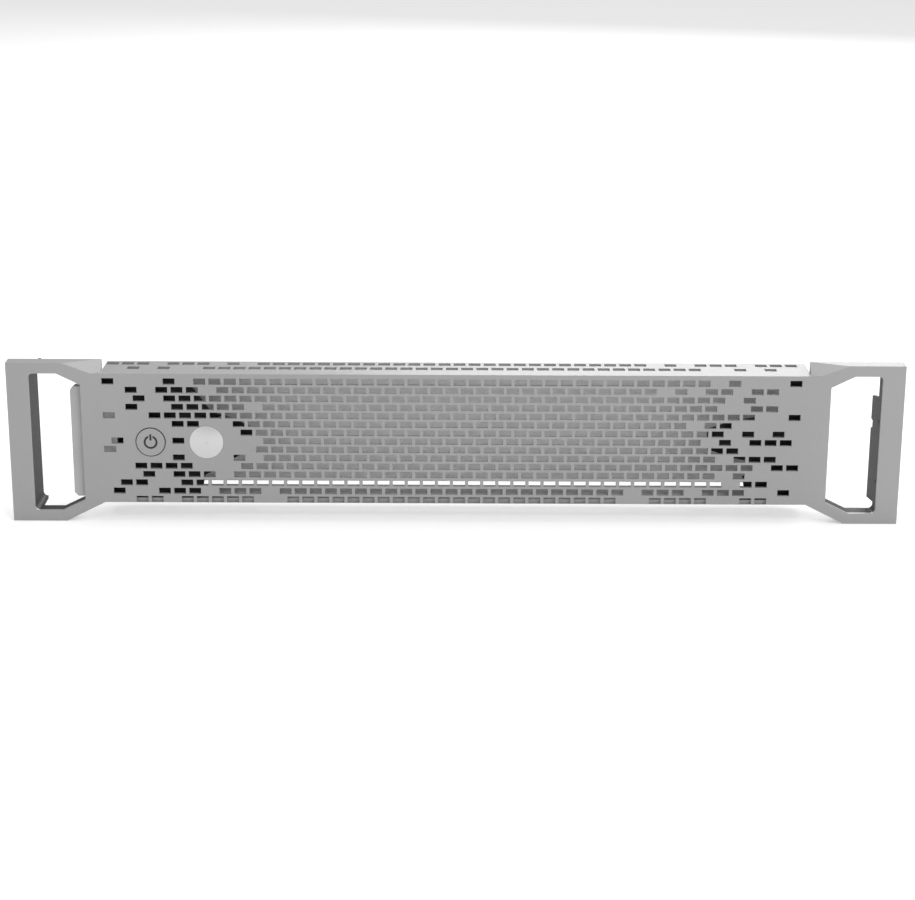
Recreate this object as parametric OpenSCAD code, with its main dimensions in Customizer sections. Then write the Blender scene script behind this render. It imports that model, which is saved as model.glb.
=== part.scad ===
// Front bezel for a 2U rack server: one perforated face with two handle ears,
// carried by two inner frames, with a power button and a release latch.
// X runs along the bezel, -Y is the front, +Z is up. The origin is the centre
// of the bounding box. Depths are measured backwards from the front plane.

/* [Overall] */
// Width from ear end to ear end
bezel_w = 480; // [470:1:490]
// Height of the ears
bezel_h = 88.6; // [86:0.1:90]
// Depth from the front plane to the rearmost point
bezel_d = 27; // [26:0.5:36]

/* [Shell] */
// Thickness of the perforated face
face_t = 2; // [1.6:0.1:2.4]
// Thickness of the returns and ear rims
wall = 2; // [1.6:0.1:2.4]
// Drop of the middle's top edge below the ears
top_drop = 5.7; // [4.5:0.1:7]
// Rise of the middle's bottom edge above the ears
bottom_rise = 10.7; // [9:0.1:11.2]
// Depth of the slotted top and bottom returns
return_d = 26.4; // [25:0.1:27]
// Radius along the front edges
edge_r = 1.4; // [0.8:0.1:1.6]

/* [Ears] */
// Depth of the ear rims
ear_d = 9; // [8:0.1:10]
// Width of an ear over its level top edge
ear_top = 30; // [28:0.5:34]
// Width of an ear over its level bottom edge
ear_base = 29; // [27:0.5:32]
// Width of an ear where it joins the middle
ear_reach = 50.2; // [49.5:0.1:50.6]
// Width of an ear where its top slope meets the middle
ear_slope = 45; // [42:0.5:47]
// Width of the outer bar that the fingers close round
bar_w = 11.8; // [10.5:0.1:13]
// Height of the ear's top and bottom bars
bar_h = 5.8; // [5:0.1:7]
// Reach of the finger opening from the ear's end
opening_reach = 39.4; // [38.5:0.1:40]
// Reach of the opening's level top and bottom edges
opening_level = 26.8; // [25:0.1:29]
// Height lost by the opening over each sloping corner
opening_slope = 6.2; // [5:0.1:7.5]
// Radius of the opening's outer corners
opening_r = 2.5; // [1.5:0.1:4]

/* [Brick pattern] */
// Pitch of the holes along a row
brick_pitch = 8.17; // [8.1:0.01:8.25]
// Pitch of the rows
row_pitch = 4.72; // [4.65:0.01:4.75]
// Width of one hole
brick_w = 6.4; // [5.6:0.1:6.8]
// Height of one hole
brick_h = 3.4; // [2.6:0.1:3.6]
// Distance from the middle's top edge to the first row's centre
first_row = 4.2; // [4:0.1:4.6]
// Shift of the whole pattern towards the right ear
pattern_shift = 2; // [1:0.1:3]
// Length of one slot in the returns, measured front to back
slot_l = 5; // [3.5:0.1:6]
// Depth of the front slot row's centre
slot_front = 12.5; // [11:0.5:14]
// Depth of the rear slot row's centre
slot_rear = 21.5; // [20:0.5:22]

/* [Badge and power button] */
// Centre of the badge, measured from the left ear's end
badge_reach = 106; // [105:0.5:107]
// Radius of the badge disc
badge_r = 9.1; // [8:0.1:9.4]
// Height of the badge above the face
badge_proud = 0.9; // [0.4:0.1:1.2]
// Centre of the power button, measured from the left ear's end
button_reach = 76; // [75.5:0.5:77]
// Radius of the power button's cap
button_r = 7.6; // [7:0.1:7.8]
// Gap round the power button's cap
button_gap = 0.6; // [0.4:0.1:0.7]
// Travel of the power button
button_travel = 1.5; // [1:0.1:2]
// Height of the badge and button above mid-height
controls_z = 0.6; // [0:0.1:1]
// Radius of the button's stem
stem_r = 2.5; // [2:0.1:2.8]

/* [Inner frames] */
// Depth of the front of the frames' backing plates
frame_d = 6; // [5.6:0.1:6.4]
// Thickness of the frames' plates and liners
frame_t = 1.8; // [1.4:0.1:2]
// Depth of the left outer wall
side_wall_d = 26; // [24:0.5:27]
// Radius of the screw bosses
boss_r = 3.2; // [2.8:0.1:3.3]
// Depth at the top of the bumper posts
post_d = 24; // [22:0.5:25]

/* [Release latch] */
// Travel of the release slider
slider_travel = 4; // [2:0.1:4]
// Distance the finger pad stands into the opening
pad_reach = 6; // [4.5:0.1:7]
// Distance from each end of the slider to the end of the opening's inner edge
slider_inset = 1.5; // [1.2:0.1:2.2]
// Depth of the slider's front
slider_d = 2.4; // [2.3:0.1:2.8]
// Thickness of the slider
slider_t = 5.6; // [5.2:0.1:5.8]
// Height of each latch hook's centre above and below mid-height
hook_z = 18; // [17.5:0.1:18.5]
// Width of each latch hook
hook_w = 8; // [6:0.5:8.5]

/* [Right hook plate] */
// Height of the plate's upper corner above mid-height
plate_top = 24.6; // [20:0.5:28]
// Distance of the plate's lower corner below mid-height
plate_bottom = 35; // [30:0.5:36]

/* [Fasteners] */
// Radius of the frame screws' shanks
screw_r = 1.2; // [1:0.05:1.3]
// Radius of the frame screws' heads
head_r = 2.6; // [2.2:0.1:3]
// Radius of the guide pins
pin_r = 2; // [1.5:0.1:2.4]

/* [Hidden] */
$fn = 48;

// Clearance between a hole and the screw, pin or stem in it
fit = 0.05;
// Clearance between a moving piece and what it passes
gap = 0.3;
// Overlap of a cutter past the face that it cuts
over = 1;
// Gap between the inner frames and the shell's walls
seat_gap = 0.2;

half_w = bezel_w / 2;
half_h = bezel_h / 2;
top_z = half_h - top_drop;
bottom_z = -half_h + bottom_rise;
first_row_z = top_z - first_row;
row_count = 15;
// Lower and upper edges of the inner frames
frame_low = bottom_z + wall + seat_gap;
frame_high = top_z - wall - 3 * seat_gap;
// Width that the hole columns below are laid out for, and the columns that another width adds
pattern_w = 480;
extra_columns = round((bezel_w - pattern_w) / 2 / brick_pitch);
badge_x = -half_w + badge_reach;
button_x = -half_w + button_reach;
button_hole_r = button_r + button_gap;

// Badge: depth of its seat, its stud's radius and end, and the push nut's thickness
badge_seat_d = 1;
badge_stud_r = 2;
badge_stud_end = 4;
push_nut_t = 0.6;

// Power button: height of the cap above the face, flange, stem and clip
button_proud = 0.4;
flange_t = 1;
flange_d = face_t + gap;
flange_r = button_hole_r + 1.2;
stem_end = 24.5;
clip_t = 0.8;
// Depth of the mark in the cap
mark_t = 0.24;
// Pocket that holds the button's spring, and the end of the stem's guide behind it
spring_pocket_end = 14;
spring_pocket_r = stem_r + 2;
spring_wire_r = 0.3;
guide_end = spring_pocket_end + frame_t;

// Light pipes: depth of their rear ends, and clearance in their holes
pipe_end = 22;
pipe_fit = 0.1;

// Release slider's edges beside the opening, and the pocket that it slides in
slider_in = opening_reach - pad_reach;
pocket_x = ear_reach - 1.4;
slider_out = pocket_x - slider_travel - 0.4;
slider_half = half_h - bar_h - opening_slope - slider_inset;
// Cover behind the slider, and the posts that hold it
cover_d = slider_d + slider_t + 2.4;
cover_t = 1.4;
cover_lap = 5.6;
latch_posts = [[ear_reach - 3.8, slider_half + 3.1], [ear_reach - 7.8, -slider_half - 2.5]];
latch_head_r = 1.8;
latch_post_r = 1.7;
latch_post_floor = 0.6;
latch_screw_r = 0.85;
// Lap of the pocket's rails behind the slider, and thickness of the pocket's ends
rail_lap = 1.2;
pocket_end_t = 1.2;
// Latch springs and the bores that they sit in
latch_spring_r = 1.6;
latch_spring_wire = 0.25;
latch_bore_r = latch_spring_r + latch_spring_wire + 0.35;
latch_bore_l = 8;
latch_spring_z = 8;
latch_spring_d = slider_d + slider_t / 2;
// Latch hooks: sheet thickness, foot, tip, arm and screws
hook_t = 1.2;
hook_foot_d = slider_d + slider_t;
hook_end = bezel_d - 1.2;
hook_arm = slider_out - 1.6;
hook_screw_z = 2.2;
hook_screw_r = 0.9;
hook_screw_l = 3;

// Heights and depth of the right hook plate's screws
hook_plate_holes = [-22, 12];
hook_plate_screw_d = 6;
// Lower and upper ends of the plate's tongue, and the notch behind the rack ear
tongue = [hook_plate_holes[0] - 6, hook_plate_holes[1] + 6];
notch_z = plate_top - 17;
notch_h = 5;
notch_in = 4;

// Reach of the bridge between the right plate and the opening's liner
bridge_reach = ear_reach + 2;

// Guide pins: their thinner root sits in a socket on the frame
pin_root_r = pin_r - 0.4;
pin_socket_wall = 2.2;
pin_socket_end = frame_d + frame_t + 6;
pin_tip = 1;

// Hole columns of each face row from the top, as [first, last] runs. Odd rows
// are centred on a column, even rows half a pitch to its right.
rows = [
    [[-23, -23], [-19, -19], [-17, 16], [18, 18], [22, 22]],
    [[-22, -22], [-20, -18], [-16, 12], [14, 14], [16, 17], [19, 20]],
    [[-21, -21], [-19, 17], [19, 19]],
    [[-22, -22], [-19, -15], [-13, 16], [19, 20]],
    [[-20, 19], [22, 22]],
    [[-19, -18], [-15, 14], [16, 17]],
    [[-14, 17], [19, 19], [21, 21]],
    [[-19, -19], [-13, 15], [17, 17], [19, 21]],
    [[-13, 18]],
    [[-19, -19], [-15, -15], [-13, 16], [18, 20]],
    [[-21, -18], [-14, 19], [21, 22]],
    [[-21, -21], [-19, -17], [-15, 16], [18, 18]],
    [[-22, -21], [-18, 17], [19, 20]],
    [[-23, -23], [-20, -18], [-16, -14], [-12, 10], [12, 14], [16, 18], [21, 21]],
    [[-21, -20], [-18, -14], [-11, 10], [13, 16], [19, 20]]
];
// Slot columns of the returns' rear and front rows, in step with odd and even rows
top_rear_row = [[-23, -21], [-19, -17], [-15, -15], [-13, 12], [14, 14], [16, 18], [20, 22]];
top_front_row = [[-22, -22], [-20, -20], [-17, 15], [18, 18], [20, 20]];
bottom_rear_row = [[-22, -20], [-18, -15], [-13, 11], [13, 15], [18, 18], [20, 21]];
bottom_front_row = [[-21, -21], [-18, -18], [-16, 14], [16, 17], [20, 20]];

// Light pipes: [reach of the hole's centre, row, share of the hole's width that the pipe fills]
upper_pipe = [ear_reach + 3.9, 5, 1];
middle_pipe = [ear_reach + 8, 8, 0.5];
lower_pipe = [ear_reach + 3.9, 9, 1];
light_pipes = [upper_pipe, middle_pipe, lower_pipe];

// Screw bosses on the back of the face, as [reach from the ear's end, height]
left_bosses = [[ear_reach + 6.8, frame_high - 10.8], [ear_reach + 6, frame_low + 16.5],
               [ear_reach + 63.8, 10.4], [ear_reach + 61.8, -9.8]];
right_bosses = [[ear_reach + 6.8, frame_high - 11.5], [ear_reach + 6, -3.9],
                [ear_reach + 6, frame_low + 11.8]];
// Bumper posts and guide pins on the backs of the frames
left_posts = [[ear_reach + 17.8, frame_high - 7], [ear_reach + 17.8, frame_low + 6.4]];
right_posts = [[ear_reach + 6.8, frame_high - 3.2], [ear_reach + 13.8, frame_low + 4.9]];
left_pin_at = [ear_reach + 37.8, frame_high - 12];
right_pin_at = [ear_reach + 21.8, frame_low + 13.4];

// Y at a depth behind the front plane; the badge's dome is the foremost point
function depth(d) = (badge_proud - bezel_d) / 2 + d;
function row_z(row) = first_row_z - (row - 1) * row_pitch;
function column_x(column, row) = pattern_shift + (column + (row % 2 == 1 ? 0 : 0.5)) * brick_pitch;
// Column moved outwards with the ears on a wider or narrower bezel
function spread(column) = column + (column < 0 ? -extra_columns : extra_columns);
function left(reach) = -half_w + reach;
function right(reach) = half_w - reach;
function unit(v) = v / norm(v);
// Turned a quarter turn to the left, so it points into an outline drawn anticlockwise
function inward(a, b) = unit([a.y - b.y, b.x - a.x]);
function inset(points, by) =
    let (n = len(points))
    [for (k = [0:n - 1])
        let (u = inward(points[(k + n - 1) % n], points[k]),
             v = inward(points[k], points[(k + 1) % n]))
        points[k] + by * (u + v) / (1 + u * v)];

// Right-hand ear and opening outlines in X and Z, anticlockwise
ear_outline = [[right(ear_reach), bottom_z], [right(ear_base), -half_h], [half_w, -half_h],
               [half_w, half_h], [right(ear_reach), half_h]];
opening_outline = [[right(opening_reach), -half_h + bar_h + opening_slope],
                   [right(opening_level), -half_h + bar_h],
                   [right(bar_w), -half_h + bar_h], [right(bar_w), half_h - bar_h],
                   [right(opening_level), half_h - bar_h],
                   [right(opening_reach), half_h - bar_h - opening_slope]];
right_front = [[right(ear_reach), bottom_z], [right(ear_base), -half_h], [half_w, -half_h],
               [half_w, half_h], [right(ear_top), half_h], [right(ear_slope), top_z]];
face_outline = concat(right_front,
                      [for (k = [len(right_front) - 1:-1:0]) [-right_front[k].x, right_front[k].y]]);

// ---------- helpers ----------

// Extrudes an X-Z outline backwards from depth d
module slab(d, t) {
    translate([0, depth(d) + t, 0]) rotate([90, 0, 0]) linear_extrude(t) children();
}
// Round bar along Y from depth d
module rod(x, z, d, l, r) {
    translate([x, depth(d), z]) rotate([-90, 0, 0]) cylinder(h = l, r = r);
}
// Round bar along X towards +X
module cross_rod(x, d, z, l, r) {
    translate([x, depth(d), z]) rotate([0, 90, 0]) cylinder(h = l, r = r);
}
// Box in X-Z between two corners, from depth d
module block(x0, x1, z0, z1, d, t) {
    translate([x0, depth(d), z0]) cube([x1 - x0, t, z1 - z0]);
}
module both_sides() {
    children();
    mirror([1, 0, 0]) children();
}
module brick(column, row) {
    translate([column_x(column, row), row_z(row)]) square([brick_w, brick_h], center = true);
}
module slots(runs, odd, d) {
    for (run = runs) for (column = [spread(run[0]):spread(run[1])])
        translate([column_x(column, odd ? 1 : 2), depth(d)]) square([brick_w, slot_l], center = true);
}
// Coil spring along +Z from 0, as a tube swept along a helix
module coil(r, wire_r, l, turns) {
    sides = 8;
    steps = 12 * turns;
    points = [for (s = [0:steps]) for (k = [0:sides - 1])
        let (t = 360 * turns * s / steps, a = 360 * k / sides, q = r + wire_r * cos(a))
        [q * cos(t), q * sin(t), wire_r + (l - 2 * wire_r) * s / steps + wire_r * sin(a)]];
    walls = [for (s = [0:steps - 1]) for (k = [0:sides - 1])
        let (a = s * sides + k, b = s * sides + (k + 1) % sides)
        [a, b, b + sides, a + sides]];
    ends = [[for (k = [sides - 1:-1:0]) k], [for (k = [0:sides - 1]) steps * sides + k]];
    polyhedron(points, concat(walls, ends));
}
module pan_screw(x, z, d, l, r, head, head_h) {
    rod(x, z, d - l, l, r);
    difference() {
        rod(x, z, d, head_h, head);
        for (turn = [0, 90])
            translate([x, depth(d + head_h), z]) rotate([0, turn, 0])
                cube([head * 1.3, head_h, head * 0.3], center = true);
    }
}

// ---------- front shell ----------

module opening_shape(grow = 0) {
    r = opening_r + grow;
    corners = inset(opening_outline, -grow);
    low = corners[2];
    high = corners[3];
    difference() {
        polygon(corners);
        translate([low.x - r, low.y - over]) square([r + over, r + over]);
        translate([high.x - r, high.y - r]) square([r + over, r + over]);
    }
    translate([low.x - r, low.y + r]) circle(r);
    translate([high.x - r, high.y - r]) circle(r);
}
module face_holes() {
    for (row = [1:row_count]) if (row_z(row) - brick_h / 2 > bottom_z)
        for (run = rows[row - 1]) for (column = [spread(run[0]):spread(run[1])])
            brick(column, row);
    for (pipe = light_pipes)
        translate([left(pipe[0]), row_z(pipe[1])]) square([brick_w, brick_h], center = true);
}
// Cutter that rounds the front edge between two corners of the face outline
module edge_cutter(a, b) {
    along = b - a;
    translate([a.x, depth(0), a.y]) rotate([0, -atan2(along.y, along.x), 0])
        difference() {
            translate([-over / 2, -over, -over])
                cube([norm(along) + over, edge_r + over, edge_r + over]);
            translate([-over, edge_r, edge_r]) rotate([0, 90, 0])
                cylinder(h = norm(along) + 2 * over, r = edge_r);
        }
}
module ear_rim() {
    difference() {
        slab(face_t, ear_d - face_t) difference() {
            polygon(ear_outline);
            polygon(inset(ear_outline, wall));
            translate([right(ear_reach) - over, bottom_z + wall])
                square([wall + 2 * over, top_z - bottom_z - 2 * wall]);
        }
        ear_ramp_cutter();
    }
    // Solid ramp from the ear's top down to the middle's top edge
    difference() {
        slab(0, ear_d) polygon([[right(ear_reach), top_z], [right(ear_slope), top_z],
                                [right(ear_top), half_h], [right(ear_reach), half_h]]);
        ear_ramp_cutter();
    }
}
module ear_ramp_cutter() {
    a = [right(ear_top), depth(0), half_h];
    b = [right(ear_slope), depth(0), top_z];
    c = [right(ear_reach), depth(ear_d), half_h];
    n = unit(cross(c - a, b - a));
    size = 2 * ear_reach;
    translate(a) rotate([0, acos(n.z), atan2(n.y, n.x)])
        translate([-size, -size, 0]) cube([2 * size, 2 * size, size]);
}
module return_plate(z, rear_row, front_row) {
    translate([0, 0, z]) linear_extrude(wall) difference() {
        translate([-right(ear_reach), depth(face_t)]) square([2 * right(ear_reach), return_d - face_t]);
        slots(rear_row, true, slot_rear);
        slots(front_row, false, slot_front);
    }
}
module boss(at) {
    rod(at.x, at.y, face_t, frame_d - face_t, boss_r);
}
module front_shell() {
    color([0.64, 0.64, 0.64]) difference() {
        union() {
            slab(0, face_t) difference() {
                polygon(face_outline);
                face_holes();
                both_sides() opening_shape();
                translate([button_x, controls_z]) circle(button_hole_r);
            }
            both_sides() ear_rim();
            return_plate(top_z - wall, top_rear_row, top_front_row);
            return_plate(bottom_z, bottom_rear_row, bottom_front_row);
            for (at = left_bosses) boss([left(at[0]), at[1]]);
            for (at = right_bosses) boss([right(at[0]), at[1]]);
        }
        for (k = [0:len(face_outline) - 1])
            edge_cutter(face_outline[k], face_outline[(k + 1) % len(face_outline)]);
        rod(badge_x, controls_z, -over, over + badge_seat_d, badge_r + gap / 2);
        rod(badge_x, controls_z, -over, face_t + 2 * over, badge_stud_r + fit);
        for (at = left_bosses) rod(left(at[0]), at[1], face_t, frame_d, screw_r + fit);
        for (at = right_bosses) rod(right(at[0]), at[1], face_t, frame_d, screw_r + fit);
    }
}

// ---------- badge ----------

module badge_disc() {
    dome_r = (badge_r * badge_r + badge_proud * badge_proud) / (2 * badge_proud);
    color([0.85, 0.85, 0.86]) {
        // Disc with a shallow dome, turned about its own axis
        translate([badge_x, depth(badge_seat_d), controls_z]) rotate([90, 0, 0])
            rotate_extrude($fn = 96) intersection() {
                square([badge_r, badge_seat_d + badge_proud]);
                translate([0, badge_seat_d + badge_proud - dome_r]) circle(dome_r, $fn = 720);
            }
        rod(badge_x, controls_z, badge_seat_d, badge_stud_end - badge_seat_d, badge_stud_r);
    }
}
module badge_push_nut() {
    color([0.5, 0.5, 0.5]) difference() {
        rod(badge_x, controls_z, face_t, push_nut_t, 2.4 * badge_stud_r);
        rod(badge_x, controls_z, face_t - over, push_nut_t + 2 * over, badge_stud_r + fit);
    }
}

// ---------- power button ----------

module power_button() {
    color([0.7, 0.7, 0.7]) difference() {
        union() {
            rod(button_x, controls_z, -button_proud, flange_d + button_proud, button_r);
            rod(button_x, controls_z, flange_d, flange_t, flange_r);
            rod(button_x, controls_z, flange_d + flange_t, stem_end - flange_d - flange_t, stem_r);
        }
        difference() {
            rod(button_x, controls_z, guide_end + fit, clip_t + 2 * fit, stem_r + over);
            rod(button_x, controls_z, guide_end - over, clip_t + 2 * over, stem_r - 0.6);
        }
        power_mark(over, mark_t + fit);
    }
}
// Ring with a bar through its top, from ahead of the cap's face to below it
module power_mark(ahead, below) {
    ring_r = 3.2;
    line = 1.1;
    translate([button_x, 0, controls_z]) slab(-button_proud - ahead, ahead + below) {
        difference() {
            circle(ring_r + line / 2);
            circle(ring_r - line / 2);
            translate([-line, 0]) square([2 * line, 2 * ring_r]);
        }
        translate([-line / 2, ring_r * 0.3]) square([line, ring_r * 1.1]);
    }
}
module power_symbol() {
    color([0.08, 0.08, 0.08]) power_mark(0, mark_t);
}
module button_spring() {
    start = flange_d + flange_t;
    color([0.6, 0.6, 0.62])
        translate([button_x, depth(start), controls_z]) rotate([-90, 0, 0])
            coil(stem_r + 1.2, spring_wire_r, spring_pocket_end - start, 6);
}
module button_clip() {
    color([0.4, 0.4, 0.42]) difference() {
        rod(button_x, controls_z, guide_end + 2 * fit, clip_t, stem_r + 1.6);
        rod(button_x, controls_z, guide_end - over, clip_t + 2 * over, stem_r - 0.5);
        block(button_x - stem_r + 0.5, button_x + stem_r - 0.5, controls_z - 2 * stem_r, controls_z,
              guide_end, clip_t + over);
    }
}

// ---------- light pipes ----------

module pipe_shape(pipe, grow) {
    x = left(pipe[0]) - brick_w / 2;
    w = brick_w * pipe[2];
    translate([x - grow, row_z(pipe[1]) - brick_h / 2 - grow]) square([w + 2 * grow, brick_h + 2 * grow]);
}
module light_pipe(pipe) {
    color([0.55, 0.55, 0.57]) slab(0.3, pipe_end - 0.3) pipe_shape(pipe, -pipe_fit);
}
module upper_light_pipe() light_pipe(upper_pipe);
module middle_light_pipe() light_pipe(middle_pipe);
module lower_light_pipe() light_pipe(lower_pipe);
module light_pipe_clamp() {
    // Open on the left, where the latch pocket's wall stands
    x0 = left(lower_pipe[0]) - brick_w / 2 + 1;
    clamp_t = 3;
    color([0.12, 0.12, 0.12]) slab(frame_d + frame_t, clamp_t) difference() {
        translate([x0, row_z(lower_pipe[1]) - brick_h])
            square([brick_w + 4, row_z(middle_pipe[1]) - row_z(lower_pipe[1]) + 2 * brick_h]);
        pipe_shape(middle_pipe, 0);
        pipe_shape(lower_pipe, 0);
    }
}

// ---------- inner frames ----------

left_plate = [[0, frame_low], [52, frame_low], [54, frame_low + 11.4], [72, -9], [82, -3.5],
              [82, 6], [71, 11.5], [58, 16], [44, frame_high], [0, frame_high]];
right_plate = [[1, frame_low], [32, frame_low], [34, frame_low + 11.4], [22, frame_low + 18.9],
               [40, -9], [54, -4], [54, 7], [40, 12], [14, 15.5], [12, frame_high], [1, frame_high]];
// Reach of the plates' outer edges
plate_reach = ear_reach - 0.2;

// Outline of the space inside the shell's rims and returns
module inside_shell() {
    reach = ear_reach - wall - seat_gap;
    difference() {
        polygon(inset(face_outline, wall + seat_gap));
        translate([left(reach), -half_h - over])
            square([bezel_w - 2 * reach, bottom_z + wall + seat_gap + half_h + over]);
        translate([left(reach), top_z - wall - seat_gap]) square([bezel_w - 2 * reach, half_h]);
    }
}
module plate_shape(points, side) {
    intersection() {
        polygon([for (p = points) [side * (half_w - plate_reach - p[0]), p[1]]]);
        inside_shell();
    }
}
// Wall that lines the finger opening, drawn for the right-hand ear
module liner(rear_d) {
    slab(face_t, rear_d - face_t) difference() {
        opening_shape(frame_t);
        opening_shape();
    }
}
// Floor that joins the liner to the backing plate behind the ear's inner side
module bridge(d, t) {
    slab(d, t) difference() {
        intersection() {
            polygon([[right(bridge_reach), -half_h],
                     [right(opening_reach), -half_h + bar_h + opening_slope],
                     [right(opening_reach), half_h - bar_h - opening_slope],
                     [right(bridge_reach), half_h]]);
            inside_shell();
        }
        opening_shape();
    }
}
module frame_plate(points, side, bosses) {
    slab(frame_d, frame_t) difference() {
        plate_shape(points, side);
        for (at = bosses) translate([side * (half_w - at[0]), at[1]]) circle(screw_r + 0.4);
    }
}
module bumper_post(x, z) {
    rod(x, z, frame_d + frame_t, post_d - frame_d - frame_t, boss_r);
}
module pin_socket(x, z) {
    difference() {
        rod(x, z, frame_d + frame_t, pin_socket_end - frame_d - frame_t, pin_root_r + pin_socket_wall);
        rod(x, z, frame_d, pin_socket_end, pin_root_r + fit);
    }
}

module pocket_end(end, inner_z, d) {
    outer_z = slider_half + gap + pocket_end_t;
    block(right(pocket_x + frame_t), right(opening_reach + 0.2), min(end * inner_z, end * outer_z),
          max(end * inner_z, end * outer_z), d, cover_d - d);
}
module left_inner_frame() {
    color([0.07, 0.07, 0.07]) {
        difference() {
            union() {
                frame_plate(left_plate, -1, left_bosses);
                rod(button_x, controls_z, frame_d, guide_end - frame_d, spring_pocket_r + 1.6);
            }
            rod(button_x, controls_z, frame_d - over, spring_pocket_end - frame_d + over, spring_pocket_r);
            rod(button_x, controls_z, frame_d, guide_end, stem_r + 2 * fit);
            for (pipe = light_pipes)
                slab(frame_d - over, frame_t + 2 * over) pipe_shape(pipe, 0);
        }
        mirror([1, 0, 0]) {
            difference() {
                liner(ear_d);
                // Window for the finger pad
                block(right(pocket_x), right(opening_reach - 0.2), -slider_half - gap, slider_half + gap,
                      face_t - over, ear_d);
            }
            // Full-depth outer wall
            slab(ear_d, side_wall_d - ear_d) intersection() {
                difference() {
                    opening_shape(frame_t);
                    opening_shape();
                }
                translate([right(bar_w) - opening_r, -half_h]) square([bar_w, bezel_h]);
            }
            // Latch pocket: inner wall, ends, and rails behind the slider
            intersection() {
                union() {
                    block(right(pocket_x + frame_t), right(pocket_x), -half_h, half_h,
                          frame_d, cover_d - frame_d);
                    for (end = [-1, 1]) {
                        pocket_end(end, slider_half + gap, frame_d);
                        pocket_end(end, slider_half - rail_lap, slider_d + slider_t + gap);
                    }
                }
                slab(frame_d - over, cover_d) inside_shell();
            }
            for (at = latch_posts) difference() {
                rod(right(at[0]), at[1], frame_d, cover_d - frame_d, latch_post_r);
                rod(right(at[0]), at[1], frame_d + latch_post_floor, cover_d, latch_screw_r + fit);
            }
        }
        for (at = left_posts) bumper_post(left(at[0]), at[1]);
        pin_socket(left(left_pin_at[0]), left_pin_at[1]);
    }
}
module right_inner_frame() {
    color([0.07, 0.07, 0.07]) {
        frame_plate(right_plate, 1, right_bosses);
        difference() {
            liner(ear_d + 1);
            for (z = hook_plate_holes)
                cross_rod(right(bar_w) - over, hook_plate_screw_d, z, frame_t + 2 * over, hook_screw_r + fit);
        }
        bridge(frame_d, frame_t);
        for (at = right_posts) bumper_post(right(at[0]), at[1]);
        pin_socket(right(right_pin_at[0]), right_pin_at[1]);
    }
}

// ---------- release latch ----------

module release_slider() {
    chamfer = 2;
    x0 = left(slider_in);
    x1 = left(slider_out);
    color([0.68, 0.68, 0.68]) difference() {
        slab(slider_d, slider_t) polygon([[x0 + chamfer, -slider_half], [x1, -slider_half], [x1, slider_half],
            [x0 + chamfer, slider_half], [x0, slider_half - chamfer], [x0, -slider_half + chamfer]]);
        // Grip grooves across the finger pad
        for (z = [-slider_half + 8:4:slider_half - 8])
            block(x0 - over, x0 + 0.6, z - 0.6, z + 0.6, slider_d + 1.2, slider_t - 2.4);
        for (z = [-latch_spring_z, latch_spring_z])
            cross_rod(x1 - latch_bore_l, latch_spring_d, z, latch_bore_l + over, latch_bore_r);
        for (z = [-hook_z, hook_z])
            rod(left(slider_out - 4.2), z, hook_foot_d - hook_screw_l, hook_screw_l + over,
                hook_screw_r + fit);
    }
}
module latch_hook(z) {
    x = left(hook_arm);
    foot = 5;
    color([0.55, 0.55, 0.58]) difference() {
        translate([0, 0, z - hook_w / 2]) linear_extrude(hook_w) polygon([
            [x + hook_t, depth(hook_foot_d)], [x + hook_t, depth(hook_end)], [x - 0.2, depth(hook_end)],
            [x - 3.2, depth(hook_end - 3.6)], [x, depth(hook_end - 3.6)],
            [x, depth(hook_foot_d + hook_t)], [x - foot, depth(hook_foot_d + hook_t)],
            [x - foot, depth(hook_foot_d)]]);
        rod(left(slider_out - 4.2), z, hook_foot_d - over, hook_t + 2 * over, hook_screw_r + fit);
    }
}
module upper_latch_hook() latch_hook(hook_z);
module lower_latch_hook() latch_hook(-hook_z);
module hook_screws() {
    color([0.4, 0.4, 0.42]) for (z = [-hook_z, hook_z])
        pan_screw(left(slider_out - 4.2), z, hook_foot_d + hook_t, hook_t + 2, hook_screw_r, 1.7, 0.9);
}
module latch_spring(z) {
    start = left(slider_out) - latch_bore_l;
    color([0.6, 0.6, 0.62])
        translate([start, depth(latch_spring_d), z]) rotate([0, 90, 0])
            coil(latch_spring_r, latch_spring_wire, left(pocket_x) - start, 8);
}
module upper_latch_spring() latch_spring(latch_spring_z);
module lower_latch_spring() latch_spring(-latch_spring_z);
module latch_cover() {
    window = hook_w + 2;
    color([0.12, 0.12, 0.12]) slab(cover_d, cover_t) difference() {
        translate([left(opening_reach + 0.4), -slider_half - cover_lap])
            square([pocket_x + frame_t - opening_reach - 0.8, 2 * (slider_half + cover_lap)]);
        for (z = [-hook_z, hook_z])
            translate([left(hook_arm - gap), z - window / 2])
                square([pocket_x - hook_arm + gap, window]);
        for (at = latch_posts) translate([left(at[0]), at[1]]) circle(latch_screw_r + gap);
    }
}
module latch_cover_screws() {
    color([0.4, 0.4, 0.42]) for (at = latch_posts)
        pan_screw(left(at[0]), at[1], cover_d + cover_t, cover_t + 3, latch_screw_r,
                  latch_head_r, 1);
}

// ---------- right hook plate ----------

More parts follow.
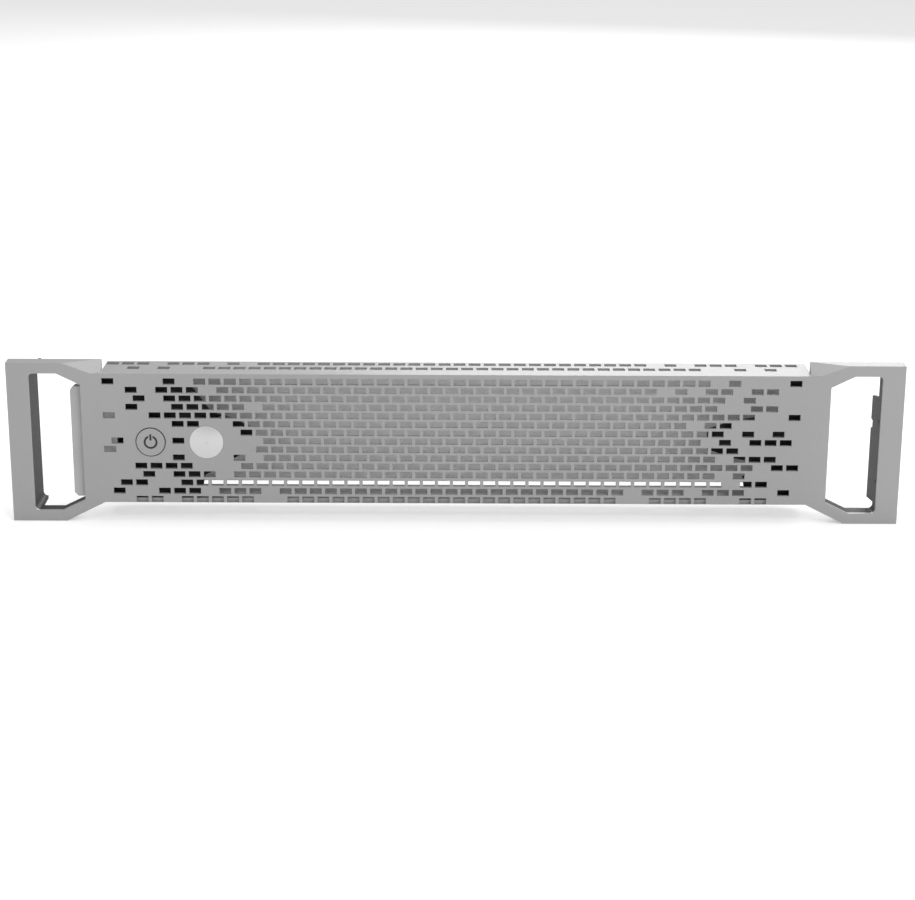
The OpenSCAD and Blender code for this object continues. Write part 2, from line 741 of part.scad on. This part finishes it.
module hook_plate_side(points, x, t) {
    translate([x, 0, 0]) rotate([90, 0, 90]) linear_extrude(t)
        polygon([for (p = points) [depth(p[0]), p[1]]]);
}
module right_hook_plate() {
    color([0.09, 0.09, 0.09]) difference() {
        union() {
            // Blade that enters the rack ear, with a notch that hooks behind it
            hook_plate_side([[ear_d + 1.1, -plate_bottom], [bezel_d, -plate_bottom - 2.6],
                             [bezel_d, notch_z - notch_h], [bezel_d - notch_in, notch_z - notch_h],
                             [bezel_d - notch_in, notch_z], [bezel_d, notch_z],
                             [bezel_d, plate_top - 3.8], [ear_d + 1.1, plate_top]],
                            right(bar_w), frame_t);
            // Tongue that is screwed to the outside of the liner
            hook_plate_side([[face_t + 0.6, tongue[0]], [ear_d + 4, tongue[0]],
                             [ear_d + 4, tongue[1]], [face_t + 0.6, tongue[1]]],
                            right(bar_w) + frame_t, frame_t);
        }
        for (z = hook_plate_holes)
            cross_rod(right(bar_w), hook_plate_screw_d, z, 3 * frame_t, hook_screw_r + fit);
    }
}
module hook_plate_screws() {
    x = right(bar_w) + 2 * frame_t;
    color([0.4, 0.4, 0.42]) for (z = hook_plate_holes) {
        cross_rod(x - 2 * frame_t + 0.3, hook_plate_screw_d, z, 2 * frame_t - 0.3, hook_screw_r);
        cross_rod(x, hook_plate_screw_d, z, 1, 1.9);
    }
}

// ---------- fasteners, pins and bumpers ----------

module frame_screws(side, bosses) {
    color([0.4, 0.4, 0.42]) for (at = bosses)
        pan_screw(side * (half_w - at[0]), at[1], frame_d + frame_t, frame_t + 3, screw_r, head_r, 1.6);
}
module left_frame_screws() frame_screws(-1, left_bosses);
module right_frame_screws() frame_screws(1, right_bosses);

module guide_pin(x, z) {
    color([0.62, 0.62, 0.64]) {
        rod(x, z, frame_d + frame_t, pin_socket_end - frame_d - frame_t, pin_root_r);
        rod(x, z, pin_socket_end, bezel_d - pin_tip - pin_socket_end, pin_r);
        translate([x, depth(bezel_d - pin_tip), z]) rotate([-90, 0, 0])
            cylinder(h = pin_tip, r1 = pin_r, r2 = pin_r - pin_tip * 0.7);
    }
}
module left_guide_pin() guide_pin(left(left_pin_at[0]), left_pin_at[1]);
module right_guide_pin() guide_pin(right(right_pin_at[0]), right_pin_at[1]);

module bumper(x, z) {
    rod(x, z, post_d, bezel_d - post_d, boss_r - 0.4);
}
module left_bumpers() {
    color([0.15, 0.15, 0.15]) for (at = left_posts) bumper(left(at[0]), at[1]);
}
module right_bumpers() {
    color([0.15, 0.15, 0.15]) for (at = right_posts) bumper(right(at[0]), at[1]);
}

front_shell();
left_inner_frame();
right_inner_frame();
badge_disc();
badge_push_nut();
power_button();
power_symbol();
button_spring();
button_clip();
upper_light_pipe();
middle_light_pipe();
lower_light_pipe();
light_pipe_clamp();
release_slider();
upper_latch_hook();
lower_latch_hook();
hook_screws();
upper_latch_spring();
lower_latch_spring();
latch_cover();
latch_cover_screws();
left_frame_screws();
right_frame_screws();
right_hook_plate();
hook_plate_screws();
left_guide_pin();
right_guide_pin();
left_bumpers();
right_bumpers();
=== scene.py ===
import math

import bpy
from mathutils import Matrix, Vector


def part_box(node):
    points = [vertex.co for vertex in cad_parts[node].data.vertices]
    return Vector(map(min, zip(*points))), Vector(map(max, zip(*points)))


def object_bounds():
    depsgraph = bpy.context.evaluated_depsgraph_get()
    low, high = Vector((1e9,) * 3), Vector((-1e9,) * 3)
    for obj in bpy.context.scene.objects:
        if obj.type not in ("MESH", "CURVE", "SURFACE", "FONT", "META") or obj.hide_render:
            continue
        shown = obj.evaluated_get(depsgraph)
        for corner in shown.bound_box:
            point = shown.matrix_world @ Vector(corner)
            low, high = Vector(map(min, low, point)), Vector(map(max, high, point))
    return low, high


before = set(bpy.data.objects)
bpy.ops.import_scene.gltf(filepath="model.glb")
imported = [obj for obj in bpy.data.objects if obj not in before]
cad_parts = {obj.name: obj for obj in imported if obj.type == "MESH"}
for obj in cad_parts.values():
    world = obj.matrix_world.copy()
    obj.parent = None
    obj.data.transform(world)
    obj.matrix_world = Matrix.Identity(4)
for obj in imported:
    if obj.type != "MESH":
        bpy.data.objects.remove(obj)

cad_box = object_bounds()

# ---------- sizes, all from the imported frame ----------

LO, HI = cad_box
# The plane of the bezel's face, just behind the badge's dome
FACE_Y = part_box("front_shell")[0].y
BADGE_LO, BADGE_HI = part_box("badge_disc")
BADGE = (BADGE_LO + BADGE_HI) / 2

# ---------- node helpers ----------


def material(name):
    m = bpy.data.materials.new(name)
    m.use_nodes = True
    m.node_tree.nodes.clear()
    return m


def add(m, kind, **settings):
    n = m.node_tree.nodes.new(kind)
    for key, value in settings.items():
        setattr(n, key, value)
    return n


def link(m, a, a_out, b, b_in):
    m.node_tree.links.new(a.outputs[a_out], b.inputs[b_in])


def noise(m, coords, scale, detail=3.0, roughness=0.55):
    n = add(m, "ShaderNodeTexNoise")
    n.inputs["Scale"].default_value = scale
    n.inputs["Detail"].default_value = detail
    n.inputs["Roughness"].default_value = roughness
    link(m, coords, "Object", n, "Vector")
    return n


def ramp(m, source, socket, stops):
    r = add(m, "ShaderNodeValToRGB")
    link(m, source, socket, r, "Fac")
    e = r.color_ramp.elements
    while len(e) < len(stops):
        e.new(0.5)
    for item, (at, colour) in zip(e, stops):
        item.position = at
        item.color = (*colour, 1) if len(colour) == 3 else (colour[0],) * 3 + (1,)
    return r


def grey(v):
    return (v, v, v)


def principled(m, **values):
    p = add(m, "ShaderNodeBsdfPrincipled")
    for key, value in values.items():
        p.inputs[key.replace("_", " ")].default_value = value
    out = add(m, "ShaderNodeOutputMaterial")
    link(m, p, "BSDF", out, "Surface")
    return p


def bump(m, p, height, socket, strength, distance):
    b = add(m, "ShaderNodeBump")
    b.inputs["Strength"].default_value = strength
    b.inputs["Distance"].default_value = distance
    link(m, height, socket, b, "Height")
    link(m, b, "Normal", p, "Normal")


# ---------- materials ----------


def paint(name, low, high, rough, metal):
    """Satin silver paint: fine flake, a slow drift in tone and a little orange peel."""
    m = material(name)
    p = principled(m, Metallic=metal)
    p.inputs["Coat Weight"].default_value = 0.08
    p.inputs["Coat Roughness"].default_value = 0.25
    c = add(m, "ShaderNodeTexCoord")
    flake = noise(m, c, 5200, 2.0, 0.7)
    drift = noise(m, c, 14, 2.0)
    tone = ramp(m, flake, "Fac", [(0.3, low), (0.7, high)])
    soft = ramp(m, drift, "Fac", [(0.3, grey(0.95)), (0.7, grey(1.0))])
    mix = add(m, "ShaderNodeMix", data_type="RGBA", blend_type="MULTIPLY")
    mix.inputs["Factor"].default_value = 1.0
    link(m, tone, "Color", mix, 6)
    link(m, soft, "Color", mix, 7)
    link(m, mix, 2, p, "Base Color")
    gloss = ramp(m, flake, "Fac", [(0.3, grey(rough - 0.05)), (0.7, grey(rough + 0.07))])
    link(m, gloss, "Color", p, "Roughness")
    peel = noise(m, c, 900, 2.0)
    bump(m, p, peel, "Fac", 0.12, 0.0002)
    return m


def plastic(name, low, high, rough, grain=2600, depth=0.35):
    """Moulded plastic with a fine spark-eroded grain."""
    m = material(name)
    p = principled(m)
    p.inputs["Specular IOR Level"].default_value = 0.4
    c = add(m, "ShaderNodeTexCoord")
    fine = noise(m, c, grain, 4.0, 0.65)
    drift = noise(m, c, 22, 2.0)
    tone = ramp(m, drift, "Fac", [(0.3, low), (0.7, high)])
    link(m, tone, "Color", p, "Base Color")
    gloss = ramp(m, fine, "Fac", [(0.3, grey(rough - 0.08)), (0.7, grey(rough + 0.08))])
    link(m, gloss, "Color", p, "Roughness")
    bump(m, p, fine, "Fac", depth, 0.00012)
    return m


def metal(name, low, high, rough, streak=(1, 1, 1), scale=700):
    """Bare metal with fine drawn or turned streaks."""
    m = material(name)
    p = principled(m, Metallic=1.0)
    c = add(m, "ShaderNodeTexCoord")
    mapping = add(m, "ShaderNodeMapping")
    mapping.inputs["Scale"].default_value = streak
    link(m, c, "Object", mapping, "Vector")
    n = add(m, "ShaderNodeTexNoise")
    n.inputs["Scale"].default_value = scale
    n.inputs["Detail"].default_value = 3.0
    link(m, mapping, "Vector", n, "Vector")
    tone = ramp(m, n, "Fac", [(0.25, low), (0.75, high)])
    link(m, tone, "Color", p, "Base Color")
    gloss = ramp(m, n, "Fac", [(0.25, grey(rough - 0.06)), (0.75, grey(rough + 0.08))])
    link(m, gloss, "Color", p, "Roughness")
    bump(m, p, n, "Fac", 0.12, 0.0001)
    return m


def turned_disc(name, centre):
    """Bright disc with fine rings turned round its centre."""
    m = material(name)
    p = principled(m, Metallic=0.85)
    c = add(m, "ShaderNodeTexCoord")
    shift = add(m, "ShaderNodeMapping")
    shift.inputs["Location"].default_value = (-centre.x, -centre.y, -centre.z)
    link(m, c, "Object", shift, "Vector")
    rings = add(m, "ShaderNodeTexWave", wave_type="RINGS", rings_direction="Y")
    rings.inputs["Scale"].default_value = 900
    rings.inputs["Distortion"].default_value = 0.4
    rings.inputs["Detail"].default_value = 2.0
    link(m, shift, "Vector", rings, "Vector")
    tone = ramp(m, rings, "Fac", [(0.0, (0.70, 0.70, 0.71)), (1.0, (0.84, 0.84, 0.85))])
    link(m, tone, "Color", p, "Base Color")
    gloss = ramp(m, rings, "Fac", [(0.0, grey(0.34)), (1.0, grey(0.27))])
    link(m, gloss, "Color", p, "Roughness")
    bump(m, p, rings, "Fac", 0.08, 0.00005)
    return m


def smoked(name):
    """Frosted smoke-grey acrylic of the light pipes."""
    m = material(name)
    p = principled(m, Roughness=0.22)
    p.inputs["Transmission Weight"].default_value = 0.25
    p.inputs["IOR"].default_value = 1.49
    c = add(m, "ShaderNodeTexCoord")
    haze = noise(m, c, 500, 3.0)
    tone = ramp(m, haze, "Fac", [(0.3, (0.20, 0.20, 0.21)), (0.7, (0.27, 0.27, 0.28))])
    link(m, tone, "Color", p, "Base Color")
    bump(m, p, haze, "Fac", 0.15, 0.0001)
    return m


SILVER = paint("silver_paint", (0.36, 0.36, 0.362), (0.45, 0.45, 0.452), 0.42, 0.25)
PAD = plastic("pad_grey", (0.42, 0.42, 0.42), (0.46, 0.46, 0.46), 0.45)
BLACK = plastic("black_plastic", (0.009, 0.009, 0.0095), (0.016, 0.016, 0.0165), 0.52)
MARK = plastic("mark_black", (0.02, 0.02, 0.02), (0.035, 0.035, 0.035), 0.55)
DISC = turned_disc("bright_disc", BADGE)
STEEL = metal("steel", (0.42, 0.42, 0.43), (0.62, 0.62, 0.63), 0.32, (1, 8, 1))
SPRING = metal("spring_wire", (0.45, 0.45, 0.46), (0.66, 0.66, 0.67), 0.25)
DARK_STEEL = metal("zinc_screw", (0.26, 0.26, 0.27), (0.42, 0.42, 0.43), 0.34)
SMOKE = smoked("smoked_clear")
RUBBER = plastic("rubber", (0.022, 0.022, 0.022), (0.034, 0.034, 0.034), 0.78, 1500, 0.5)

LOOKS = {
    "front_shell": SILVER,
    "power_button": SILVER,
    "power_symbol": MARK,
    "badge_disc": DISC,
    "badge_push_nut": STEEL,
    "release_slider": PAD,
    "left_inner_frame": BLACK,
    "right_inner_frame": BLACK,
    "light_pipe_clamp": BLACK,
    "latch_cover": BLACK,
    "right_hook_plate": BLACK,
    "upper_light_pipe": SMOKE,
    "middle_light_pipe": SMOKE,
    "lower_light_pipe": SMOKE,
    "button_spring": SPRING,
    "upper_latch_spring": SPRING,
    "lower_latch_spring": SPRING,
    "button_clip": STEEL,
    "upper_latch_hook": STEEL,
    "lower_latch_hook": STEEL,
    "left_guide_pin": STEEL,
    "right_guide_pin": STEEL,
    "hook_screws": DARK_STEEL,
    "latch_cover_screws": DARK_STEEL,
    "left_frame_screws": DARK_STEEL,
    "right_frame_screws": DARK_STEEL,
    "hook_plate_screws": DARK_STEEL,
    "left_bumpers": RUBBER,
    "right_bumpers": RUBBER,
}
for node, look in LOOKS.items():
    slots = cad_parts[node].data.materials
    slots.clear()
    slots.append(look)

# ---------- camera ----------

ELEVATION = math.radians(17.1)
ROLL = math.radians(0.23)
DISTANCE = 1.153
# Sensor and lens in mm, shifts as shares of the sensor's width
SENSOR = 36.0
LENS = 84.305
SHIFT_X = 0.00219
SHIFT_Y = -0.00623
CLIP_START = 0.05
CLIP_END = 60

aim = Vector((0, FACE_Y, 0))
back = Vector((0, -math.cos(ELEVATION), math.sin(ELEVATION)))
camera = bpy.data.objects.new("camera", bpy.data.cameras.new("camera"))
bpy.context.collection.objects.link(camera)
camera.data.sensor_width = SENSOR
camera.data.lens = LENS
camera.data.shift_x = SHIFT_X
camera.data.shift_y = SHIFT_Y
camera.data.clip_start = CLIP_START
camera.data.clip_end = CLIP_END
camera.location = aim + back * DISTANCE
turn = (-back).to_track_quat("-Z", "Y").to_matrix().to_4x4()
roll = Matrix.Rotation(ROLL, 4, "Z")
camera.matrix_world = Matrix.Translation(camera.location) @ turn @ roll
bpy.context.scene.camera = camera

# ---------- stage ----------

FLOOR_GAP = 0.0001
FLOOR_Z = LO.z - FLOOR_GAP
FLOOR_HALF = 4.0
STAGE_WHITE = (0.85, 0.85, 0.85)
FLOOR_LIFT = 0.35


def sheet_mesh(name, corners):
    data = bpy.data.meshes.new(name)
    data.from_pydata([tuple(c) for c in corners], [], [(0, 1, 2, 3)])
    o = bpy.data.objects.new(name, data)
    bpy.context.collection.objects.link(o)
    return o


def pale(name, colour, lift, one_sided=False):
    """Pale matt stage surface, which the camera sees as white by the share in lift."""
    m = material(name)
    d = add(m, "ShaderNodeBsdfDiffuse")
    d.inputs["Color"].default_value = (*colour, 1)
    white = add(m, "ShaderNodeEmission")
    white.inputs["Color"].default_value = (1, 1, 1, 1)
    white.inputs["Strength"].default_value = lift
    both = add(m, "ShaderNodeAddShader")
    link(m, d, "BSDF", both, 0)
    path = add(m, "ShaderNodeLightPath")
    pick = add(m, "ShaderNodeMixShader")
    link(m, path, "Is Camera Ray", pick, "Fac")
    link(m, d, "BSDF", pick, 1)
    link(m, white, "Emission", both, 1)
    link(m, both, "Shader", pick, 2)
    last = pick
    if one_sided:
        side = add(m, "ShaderNodeNewGeometry")
        clear = add(m, "ShaderNodeBsdfTransparent")
        cut = add(m, "ShaderNodeMixShader")
        link(m, side, "Backfacing", cut, "Fac")
        link(m, pick, "Shader", cut, 1)
        link(m, clear, "BSDF", cut, 2)
        last = cut
    out = add(m, "ShaderNodeOutputMaterial")
    link(m, last, "Shader", out, "Surface")
    return m


floor = sheet_mesh("floor", [(-FLOOR_HALF, -FLOOR_HALF, FLOOR_Z), (FLOOR_HALF, -FLOOR_HALF, FLOOR_Z),
                             (FLOOR_HALF, FLOOR_HALF, FLOOR_Z), (-FLOOR_HALF, FLOOR_HALF, FLOOR_Z)])
floor.data.materials.append(pale("floor_white", STAGE_WHITE, FLOOR_LIFT))

# White card close behind the perforated middle, seen through its holes from the front
CARD_Y = HI.y + 0.004
CARD_X = 0.188
CARD_LOW = -0.031
CARD_HIGH = 0.036
card = sheet_mesh("card", [(-CARD_X, CARD_Y, CARD_LOW), (CARD_X, CARD_Y, CARD_LOW),
                           (CARD_X, CARD_Y, CARD_HIGH), (-CARD_X, CARD_Y, CARD_HIGH)])
card.data.materials.append(pale("card_white", STAGE_WHITE, 0.0, one_sided=True))

# ---------- light ----------


def softbox(name, place, width, height, watts):
    data = bpy.data.lights.new(name, "AREA")
    data.shape = "RECTANGLE"
    data.size, data.size_y = width, height
    data.energy = watts
    o = bpy.data.objects.new(name, data)
    bpy.context.collection.objects.link(o)
    o.location = place
    o.rotation_mode = "QUATERNION"
    o.rotation_quaternion = (-Vector(place)).to_track_quat("-Z", "Y")


softbox("key", (1.3, -1.6, 1.5), 1.4, 1.2, 22)
softbox("fill", (-1.6, -1.8, 0.9), 1.4, 1.2, 8)
softbox("top", (0.1, 0.2, 2.0), 1.8, 1.2, 14)
softbox("rear", (0.6, 1.9, 1.0), 1.6, 1.2, 18)

world = bpy.data.worlds.new("studio")
bpy.context.scene.world = world
world.use_nodes = True
tree = world.node_tree
tree.nodes.clear()
sky = tree.nodes.new("ShaderNodeBackground")
sky.inputs["Color"].default_value = (1, 1, 1, 1)
sky.inputs["Strength"].default_value = 0.45
seen = tree.nodes.new("ShaderNodeBackground")
seen.inputs["Color"].default_value = (1, 1, 1, 1)
seen.inputs["Strength"].default_value = 1.0
ray = tree.nodes.new("ShaderNodeLightPath")
sure = tree.nodes.new("ShaderNodeMixShader")
end = tree.nodes.new("ShaderNodeOutputWorld")
tree.links.new(ray.outputs["Is Camera Ray"], sure.inputs["Fac"])
tree.links.new(sky.outputs["Background"], sure.inputs[1])
tree.links.new(seen.outputs["Background"], sure.inputs[2])
tree.links.new(sure.outputs["Shader"], end.inputs["Surface"])

bpy.context.scene.view_settings.view_transform = "Standard"
